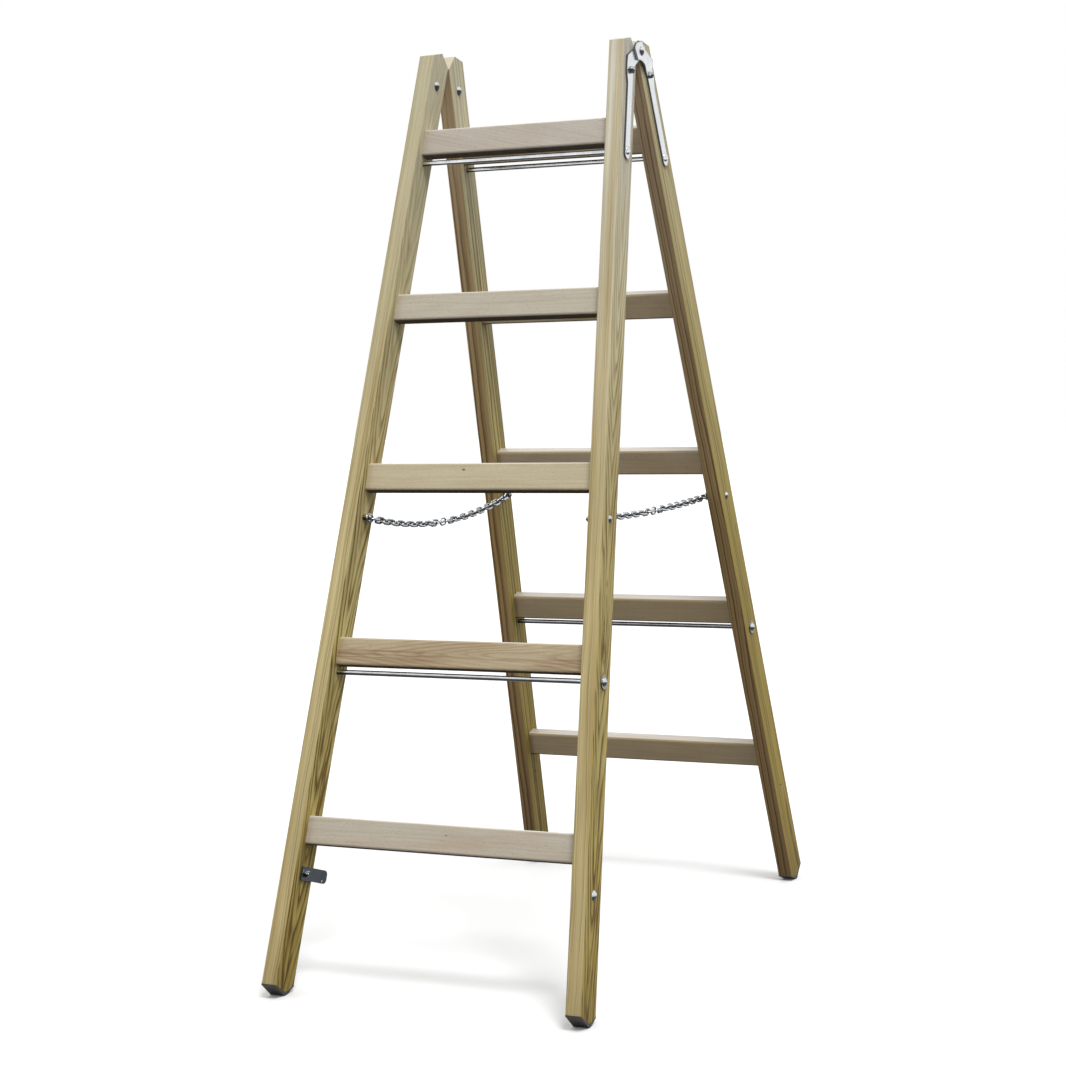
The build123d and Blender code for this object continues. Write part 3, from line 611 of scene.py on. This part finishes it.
# Looks of the metal. Under, cut and crevice are the most darkening on undersides (painted shade), on cut edges
# (bare steel and painted shade) and in corners (dirt and painted shade), crystals is the number of small crystals
# to the metre, and reach, edge_reach and ease are lengths.
STEEL = {"edge_share": 0.5, "edge_reach": 0.001, "ease": 0.0004, "reach": 0.004, "crevice": 0.6, "cut": 0.0,
         "under": 0.35, "underside_shade_from": 0.16, "dirt_and_shade": tone(36, 36, 39)}
METALS = {
    "zinc_plate": dict(
        # the dark edges and cut sides are bare cut steel and painted shade along the straps
        STEEL, dull=tone(212, 216, 219), bright=tone(234, 237, 240), edge=tone(64, 67, 72),
        edge_share=0.85, edge_reach=0.0036, ease=0.0006, smooth=0.18, rough=0.3, crystals=300.0,
        crevice=0.4, cut=0.72, under=0.0),
    "fastener_steel": dict(
        STEEL, dull=tone(186, 189, 193), bright=tone(236, 238, 240), edge=tone(120, 122, 126),
        smooth=0.12, rough=0.24, crystals=700.0, under=0.95, underside_shade_from=0.27, dirt_and_shade=tone(24, 24, 26)),
    "chain_steel": dict(
        STEEL, dull=tone(190, 196, 204), bright=tone(240, 243, 247), edge=tone(226, 230, 236),
        ease=0.0002, smooth=0.14, rough=0.28, crystals=900.0, crevice=0.75, under=0.95, underside_shade_from=0.22),
    "catch_steel": dict(
        STEEL, dull=tone(48, 54, 60), bright=tone(74, 82, 89), edge=tone(132, 138, 144),
        smooth=0.3, rough=0.46, crystals=420.0),
}
UPPER_ROD = dict(METALS["fastener_steel"], underside_shade_from=-0.3)  # painted shade on their undersides starts lower, as the camera sees these rods from below


def paint(node, material):
    for slot in frame["nodes"][node].material_slots:
        slot.material = material


def stile_axes(node, leaf):
    """Turn, foot and length of a stile, with z up along it and x across its thickness."""
    points = [vertex.co for vertex in frame["nodes"][node].data.vertices]
    low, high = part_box(node)
    cut = (high.z - low.z) * END_SLICE
    feet = [point for point in points if point.z < low.z + cut]
    tops = [point for point in points if point.z > high.z - cut]
    run = sum(tops, Vector()) / len(tops) - sum(feet, Vector()) / len(feet)
    axis = (LEAF_UP[leaf] * run.dot(LEAF_UP[leaf]) + Vector((run.x, 0, 0))).normalized()
    across = (ACROSS - axis * axis.x).normalized()
    turn = Matrix((across, axis.cross(across), axis)).transposed()
    length = (high.z - low.z) / axis.z
    return turn, (low + high) / 2 - axis * length / 2, length


def rung_axes(node, leaf):
    """Turn and middle of a rung, with z along it, y up the leaf and x through its depth."""
    low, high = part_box(node)
    turn = Matrix((LEAF_UP[leaf].cross(ACROSS), LEAF_UP[leaf], ACROSS)).transposed()
    return turn, (low + high) / 2


def paint_wood():
    seed = 0
    for node, look in STILES.items():
        seed += 1
        turn, foot, length = stile_axes(node, node.split("_")[0])
        paint(node, stile_finish(node, turn, foot, length, seed, look))
    for leaf, rungs in (("front", FRONT_RUNGS), ("rear", REAR_RUNGS)):
        for number, look in rungs.items():
            seed += 1
            node = f"{leaf}_rung_{number}"
            turn, middle = rung_axes(node, leaf)
            paint(node, rung_finish(node, turn, middle, seed, look))


def paint_metal_and_rubber():
    finishes = {slot: metal_finish(slot, look) for slot, look in METALS.items()}
    finishes["sole_rubber"] = rubber_finish("sole_rubber")
    for part in frame["record"]["subparts"]:
        if part["material_slot"] in finishes:
            paint(part["node"], finishes[part["material_slot"]])
    upper_rod = metal_finish("upper_rod", UPPER_ROD)
    for leaf in LEAF_UP:
        paint(f"{leaf}_upper_tie_rod", upper_rod)
    return finishes


# small fittings
STEPS = 48  # corners in a ring of a turned piece
NUT_FACE = 0.95  # ratio of a nut's end face to its flats
NUT_CHAMFER = math.radians(30)
NUT_CHAMFER_RINGS = (0.0, 0.3, 0.65, 1.0)  # shares of the chamfer's height
NUT_LIP = 0.0004  # countersink at the bore
DOME_RINGS = 10
MILLIMETRES = 1000  # to the metre
COARSE_PITCH = {6: 0.001, 5: 0.0008}  # thread pitch for each bolt diameter in millimetres
THREAD_DEPTH = 0.6  # ratio of a thread's depth to its pitch
THREAD_LENGTH = 0.005
THREAD_RINGS = 8  # rings in one turn of thread
SAME_LEVEL = 0.0005  # corners closer than this along an axis lie on one face
SOLE_DIGITS = 5  # decimals of a metre to which the corners of a sole are the same
SOLE_RIBS = 6
RIB_SHARE = 0.58  # ratio of a rib's width to the spacing of the ribs
RIB_DEPTH = 0.0009
RIB_DRAFT = 0.15  # ratio of a rib's sloping flank to the spacing of the ribs
SHARP_ANGLE = math.radians(35)  # faces that meet at more than this keep a sharp edge
BODIES = {node: body for body, nodes in frame["record"]["behaviour"]["bodies"].items() for node in nodes}
SLOTS = {part["node"]: part["material_slot"] for part in frame["record"]["subparts"]}


def turned_shell(levels, closed):
    """Corners and faces of rings about z, each level giving a ring's radius and height at an angle."""
    corners, faces = [], []
    for level in levels:
        for step in range(STEPS):
            angle = 2 * math.pi * step / STEPS
            radius, height = level(angle)
            corners.append(Vector((radius * math.cos(angle), radius * math.sin(angle), height)))
    for row in range(len(levels) if closed else len(levels) - 1):
        low, high = row * STEPS, (row + 1) % len(levels) * STEPS
        for step in range(STEPS):
            after = (step + 1) % STEPS
            faces.append((low + step, low + after, high + after, high + step))
    if not closed:
        faces.append(tuple(range(STEPS)))
        faces.append(tuple(range(len(corners) - STEPS, len(corners))))
    return corners, faces


def round_ring(radius, height):
    return lambda angle: (radius, height)


def nut_levels(corner, height, bore):
    """Rings of a hexagon nut, chamfered at both ends, from its lower face round to its bore."""
    sixth = math.pi / 3
    flat = corner * math.cos(sixth / 2)

    def ring(inset, level):
        cone = flat * NUT_FACE + inset / math.tan(NUT_CHAMFER)
        return lambda angle: (min(flat / math.cos(angle % sixth - sixth / 2), cone), level)

    chamfer = (corner - flat * NUT_FACE) * math.tan(NUT_CHAMFER)
    insets = [chamfer * share for share in NUT_CHAMFER_RINGS]
    outside = [ring(inset, inset) for inset in insets]
    outside += [ring(inset, height - inset) for inset in reversed(insets)]
    inside = [(bore + NUT_LIP, height), (bore, height - NUT_LIP), (bore, NUT_LIP), (bore + NUT_LIP, 0.0)]
    return outside + [round_ring(radius, level) for radius, level in inside]


def bolt_levels(head, rise, shank, length):
    """Rings of a domed bolt from the middle of its head to its threaded end, the head's edge at height 0."""
    ball = (head**2 + rise**2) / (2 * rise)
    levels = []
    for number in range(1, DOME_RINGS + 1):
        radius = head * number / DOME_RINGS
        levels.append(round_ring(radius, rise - ball + math.sqrt(ball**2 - radius**2)))
    pitch = COARSE_PITCH[round(2 * shank * MILLIMETRES)]
    levels += [round_ring(shank, 0.0), round_ring(shank, THREAD_LENGTH - length)]

    def thread_ring(level):
        def ring(angle):
            turn = (level / pitch - angle / (2 * math.pi)) % 1.0
            return shank - THREAD_DEPTH * pitch * (1 - abs(2 * turn - 1)), level
        return ring

    count = round((THREAD_LENGTH - pitch) / pitch * THREAD_RINGS)
    for number in range(1, count + 1):
        levels.append(thread_ring(THREAD_LENGTH - length - number * pitch / THREAD_RINGS))
    return levels + [round_ring(shank - THREAD_DEPTH * pitch, -length)]


def corners_on(node, side):
    return [vertex.co for vertex in frame["nodes"][node].data.vertices if vertex.co.x * side > 0]


def measure(points, axis):
    """Middle of a solid across an axis, with each corner's height along it and distance from it."""
    first = axis.orthogonal().normalized()
    second = axis.cross(first)
    middle = Vector()
    for direction in (first, second):
        reach = [point.dot(direction) for point in points]
        middle += direction * (min(reach) + max(reach)) / 2
    heights = [point.dot(axis) for point in points]
    distances = [(point - middle - axis * height).length for point, height in zip(points, heights)]
    return middle, heights, distances


def face_levels(heights):
    """The heights at which a solid has faces, lowest first."""
    levels = []
    for height in sorted(heights):
        if not levels or height - levels[-1] > SAME_LEVEL:
            levels.append(height)
    return levels


def placed(shell, middle, axis, towards):
    """A shell moved from its own axes to its place, its z along the axis and its x towards a direction."""
    corners, faces = shell
    first = (towards - axis * towards.dot(axis)).normalized()
    turn = Matrix((first, axis.cross(first), axis)).transposed()
    return [middle + turn @ corner for corner in corners], faces


def nut_shells(node, side, axis):
    """The nuts of one side, each between two faces of the solid that it stands for."""
    points = corners_on(node, side)
    middle, heights, distances = measure(points, axis)
    corner, bore = max(distances), min(distances)
    towards = points[distances.index(corner)] - middle
    levels = face_levels(heights)
    shells = []
    for low, high in zip(levels[::2], levels[1::2]):
        shell = turned_shell(nut_levels(corner, high - low, bore), closed=True)
        shells.append(placed(shell, middle + axis * low, axis, towards))
    return shells


def bolt_shells(node, side, axis):
    """The bolt of one side, its head on the same end as the solid's."""
    points = corners_on(node, side)
    middle, heights, distances = measure(points, axis)
    head = max(distances)
    edge = heights[distances.index(head)]
    if max(heights) - edge > edge - min(heights):
        axis = -axis
        heights = [-height for height in heights]
        edge = -edge
    end = min(heights)
    shank = max(distance for distance, height in zip(distances, heights) if height < end + SAME_LEVEL)
    shell = turned_shell(bolt_levels(head, max(heights) - edge, shank, edge - end), closed=False)
    return [placed(shell, middle + axis * edge, axis, axis.orthogonal())]


def sole_outline(node, leaf):
    """Left and right ends of a sole's profile corners: the four below in order, then the four above."""
    vertices = frame["nodes"][node].data.vertices
    merged = {tuple(round(value, SOLE_DIGITS) for value in vertex.co): vertex.co for vertex in vertices}
    points = list(merged.values())
    inward = LEAF_UP[leaf].cross(ACROSS)
    under, upper = [], []
    for column in face_levels(point.dot(inward) for point in points):
        near = [point for point in points if abs(point.dot(inward) - column) < SAME_LEVEL]
        near.sort(key=lambda point: point.dot(LEAF_UP[leaf]))
        under.append(sorted(near[:2], key=lambda point: point.x))
        upper.append(sorted(near[2:], key=lambda point: point.x))
    return under + upper[::-1]


def rib_stations():
    """Places across a sole, as a share of its width, with 0 on a rib and 1 in a groove."""
    spacing = 1 / (SOLE_RIBS - 1 + RIB_SHARE)
    stations = []
    for number in range(SOLE_RIBS):
        left = number * spacing
        right = left + RIB_SHARE * spacing
        stations += [(left - RIB_DRAFT * spacing, 1), (left, 0), (right, 0), (right + RIB_DRAFT * spacing, 1)]
    return stations[1:-1]


def sole_shell(node, leaf):
    """A sole with ribs along its underside, between the same sides as the solid that it stands for."""
    outline = sole_outline(node, leaf)
    stations = rib_stations()
    size = len(outline)
    corners, faces = [], []
    for share, groove in stations:
        for number, (left, right) in enumerate(outline):
            lift = RIB_DEPTH * groove if number < size / 2 else 0.0
            corners.append(left.lerp(right, share) + LEAF_UP[leaf] * lift)
    for row in range(len(stations) - 1):
        for number in range(size):
            after = (number + 1) % size
            faces.append(tuple(row * size + index for index in (number, after, after + size, number + size)))
    faces.append(tuple(range(size)))
    faces.append(tuple(range(len(corners) - size, len(corners))))
    return corners, faces


def add_piece(node, shells, finishes):
    """A piece in place of a node, moving with the node's body."""
    corners, faces = [], []
    for shell_corners, shell_faces in shells:
        faces += [tuple(len(corners) + index for index in face) for face in shell_faces]
        corners += shell_corners
    mesh = bpy.data.meshes.new(node + "_shape")
    mesh.from_pydata(corners, [], faces)
    shape = bmesh.new()
    shape.from_mesh(mesh)
    bmesh.ops.recalc_face_normals(shape, faces=shape.faces)
    shape.to_mesh(mesh)
    shape.free()
    mesh.shade_smooth()
    mesh.set_sharp_from_angle(angle=SHARP_ANGLE)
    mesh.materials.append(finishes[SLOTS[node]])
    piece = bpy.data.objects.new(node + "_shape", mesh)
    bpy.context.scene.collection.objects.link(piece)
    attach(piece, BODIES[node])
    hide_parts(node)


def add_fittings(finishes):
    """Nuts and threaded bolts of the hinges, chains and catches, and the soles."""
    for leaf in LEAF_UP:
        through = {side: stile_axes(f"{leaf}_{name}_stile", leaf)[0].col[0] for side, name in SIDES.items()}
        level = {side: ACROSS for side in SIDES}
        groups = {f"{leaf}_hinge": through, f"{leaf}_chain": level}
        if leaf == "front":
            groups["catch"] = through
        for kind, make in (("nuts", nut_shells), ("bolts", bolt_shells)):
            for group, axes in groups.items():
                node = f"{group}_{kind}"
                shells = []
                for side in SIDES:
                    shells += make(node, side, axes[side])
                add_piece(node, shells, finishes)
        for name in SIDES.values():
            node = f"{leaf}_{name}_sole"
            add_piece(node, [sole_shell(node, leaf)], finishes)


# chains
LINK_DIGITS = 6  # decimals of a metre to which the corners of a link are the same
LINK_BEND_STEPS = 12
LINK_SIDE_STEPS = 8
WIRE_STEPS = 12
WIRE_EASE = 0.97  # leaves a hair of room between links, so that they stay clear of each other when folded
WELD_WIDTH = 0.0012
WELD_BULGE = 0.1  # ratio of the weld's rise to the wire's radius
HEAVY_LINK = (1.33, 1.12)  # ratios of a link's wire and width to the solid's, as the photograph suggests
END_LINK = (1.15, 1.12)  # the same at the bolts and where a link turns against the next body
OPEN_LINK = (1.0, 1.12)  # the same beside the joint that the model leaves open
# for each length of a chain, the place of its one lighter link and that link's ratios
LIGHTER_LINKS = {"front_upper": (0, END_LINK), "front_lower": (-1, END_LINK), "middle": (0, OPEN_LINK),
                 "rear_lower": (0, OPEN_LINK), "rear_upper": (-1, END_LINK)}


def separate_solids(node):
    """Corners of each solid of a node, in order from the front of the ladder to its rear."""
    mesh = frame["nodes"][node].data
    keys = [tuple(round(value, LINK_DIGITS) for value in vertex.co) for vertex in mesh.vertices]
    above = {key: key for key in keys}

    def top(key):
        while above[key] != key:
            above[key] = above[above[key]]
            key = above[key]
        return key

    for polygon in mesh.polygons:
        first = top(keys[polygon.vertices[0]])
        for index in polygon.vertices[1:]:
            above[top(keys[index])] = first
    solids = {}
    for key in above:
        solids.setdefault(top(key), []).append(key)
    arrays = [np.array(corners) for corners in solids.values()]
    return sorted(arrays, key=lambda corners: corners[:, 1].mean())


def link_line(length, width, wire):
    """Middle line of a link's wire as places along and across the link."""
    bend = (width - wire) / 2
    straight = (length - wire) / 2 - bend
    line = []
    for end in (1, -1):
        for step in range(LINK_BEND_STEPS + 1):
            angle = math.pi * (step / LINK_BEND_STEPS - 0.5)
            line.append((end * (straight + bend * math.cos(angle)), end * bend * math.sin(angle)))
        for step in range(1, LINK_SIDE_STEPS):
            line.append((end * straight * (1 - 2 * step / LINK_SIDE_STEPS), end * bend))
    return line


def link_shell(corners, wire_share, width_share):
    """A welded round-wire link in the place of a solid, hooked to the next links at the same points."""
    centre = (corners.max(0) + corners.min(0)) / 2
    offsets = corners - centre
    axes = np.linalg.eigh(offsets.T @ offsets)[1].T
    wire, width, length = (2 * np.abs(offsets @ axis).max() for axis in axes)
    thin, wide, long = (Vector(axis) for axis in axes)
    length += 2 * wire * (wire_share - 1)
    wire *= wire_share
    width *= width_share
    line = link_line(length, width, wire)
    points = [Vector(centre) + long * place + wide * across for place, across in line]
    shell, faces = [], []
    for number, (place, across) in enumerate(line):
        ahead = (points[(number + 1) % len(line)] - points[number - 1]).normalized()
        side = ahead.cross(thin)
        seam = math.exp(-(place / WELD_WIDTH) ** 2) if across < 0 else 0.0
        radius = wire / 2 * WIRE_EASE * (1 + WELD_BULGE * seam)
        low, high = number * WIRE_STEPS, (number + 1) % len(line) * WIRE_STEPS
        for step in range(WIRE_STEPS):
            angle = 2 * math.pi * step / WIRE_STEPS
            shell.append(points[number] + (side * math.cos(angle) + thin * math.sin(angle)) * radius)
            after = (step + 1) % WIRE_STEPS
            faces.append((low + step, low + after, high + after, high + step))
    return shell, faces


def add_chains(finishes):
    for name in SIDES.values():
        for stretch, (lighter, ratios) in LIGHTER_LINKS.items():
            node = f"{name}_chain_{stretch}"
            solids = separate_solids(node)
            shares = [HEAVY_LINK] * len(solids)
            shares[lighter] = ratios
            add_piece(node, [link_shell(corners, *share) for corners, share in zip(solids, shares)], finishes)


def seen_white(nodes):
    """1 for rays from the camera, a glossy surface or a clear one, 0 for the rays that carry light."""
    path = nodes.add("LightPath")
    seen = nodes.math("MAXIMUM", path.outputs["Is Camera Ray"], path.outputs["Is Glossy Ray"])
    return nodes.math("MAXIMUM", seen, path.outputs["Is Transmission Ray"])


def make_floor():
    half = FLOOR_SIZE / 2
    corners = [(-half, -half), (half, -half), (half, half), (-half, half)]
    mesh = bpy.data.meshes.new("floor")
    mesh.from_pydata([(x, y, -FLOOR_DROP) for x, y in corners], [], [(0, 1, 2, 3)])
    floor = bpy.data.objects.new("floor", mesh)
    bpy.context.scene.collection.objects.link(floor)
    finish = Finish("floor")
    shade = finish.spread(seen_white(finish), 0.0, 1.0, FLOOR_BOUNCE, FLOOR_SHADE)
    finish.show(finish.add("BsdfDiffuse", {"Color": shade}))
    mesh.materials.append(finish.material)


def make_world():
    world = bpy.data.worlds.new("studio")
    world.use_nodes = True
    bpy.context.scene.world = world
    sky = Nodes(world.node_tree, "World")
    up = sky.part(sky.add("TexCoord").outputs["Generated"], 2)
    levels = {"Value": up, "From Min": 0.0, "From Max": 1.0, "To Min": SKY_EDGE, "To Max": SKY_TOP}
    light = sky.add("Background", {"Strength": sky.add("MapRange", levels).outputs[0], "Color": WHITE})
    white = sky.add("Background", {"Strength": 1.0, "Color": WHITE})
    sky.show(sky.add("MixShader", {0: seen_white(sky), 1: light.outputs[0], 2: white.outputs[0]}))


def make_sun():
    lamp = bpy.data.lights.new("sun", "SUN")
    lamp.energy = SUN_POWER
    lamp.angle = SUN_ANGLE
    sun = bpy.data.objects.new("sun", lamp)
    flat = math.cos(SUN_HEIGHT)
    towards = Vector((flat * math.sin(SUN_AZIMUTH), -flat * math.cos(SUN_AZIMUTH), math.sin(SUN_HEIGHT)))
    sun.rotation_euler = towards.to_track_quat("Z", "Y").to_euler()
    bpy.context.scene.collection.objects.link(sun)


def make_camera():
    lens = bpy.data.cameras.new("camera")
    lens.sensor_width = SENSOR_WIDTH
    lens.lens = FOCAL_PIXELS / PICTURE_PIXELS * SENSOR_WIDTH
    camera = bpy.data.objects.new("camera", lens)
    ahead = Vector((-math.sin(CAMERA_YAW) * math.cos(CAMERA_PITCH),
                    math.cos(CAMERA_YAW) * math.cos(CAMERA_PITCH), -math.sin(CAMERA_PITCH)))
    level = Vector((math.cos(CAMERA_YAW), math.sin(CAMERA_YAW), 0))
    down = ahead.cross(level)
    right = level * math.cos(CAMERA_ROLL) + down * math.sin(CAMERA_ROLL)
    below = down * math.cos(CAMERA_ROLL) - level * math.sin(CAMERA_ROLL)
    axes = Matrix((right, -below, -ahead)).transposed().to_4x4()
    camera.matrix_world = Matrix.Translation(CAMERA_PLACE) @ axes
    bpy.context.scene.collection.objects.link(camera)
    bpy.context.scene.camera = camera


paint_wood()
metal_and_rubber = paint_metal_and_rubber()
add_fittings(metal_and_rubber)
add_chains(metal_and_rubber)
make_floor()
make_world()
make_sun()
make_camera()
bpy.context.scene.view_settings.view_transform = "Standard"
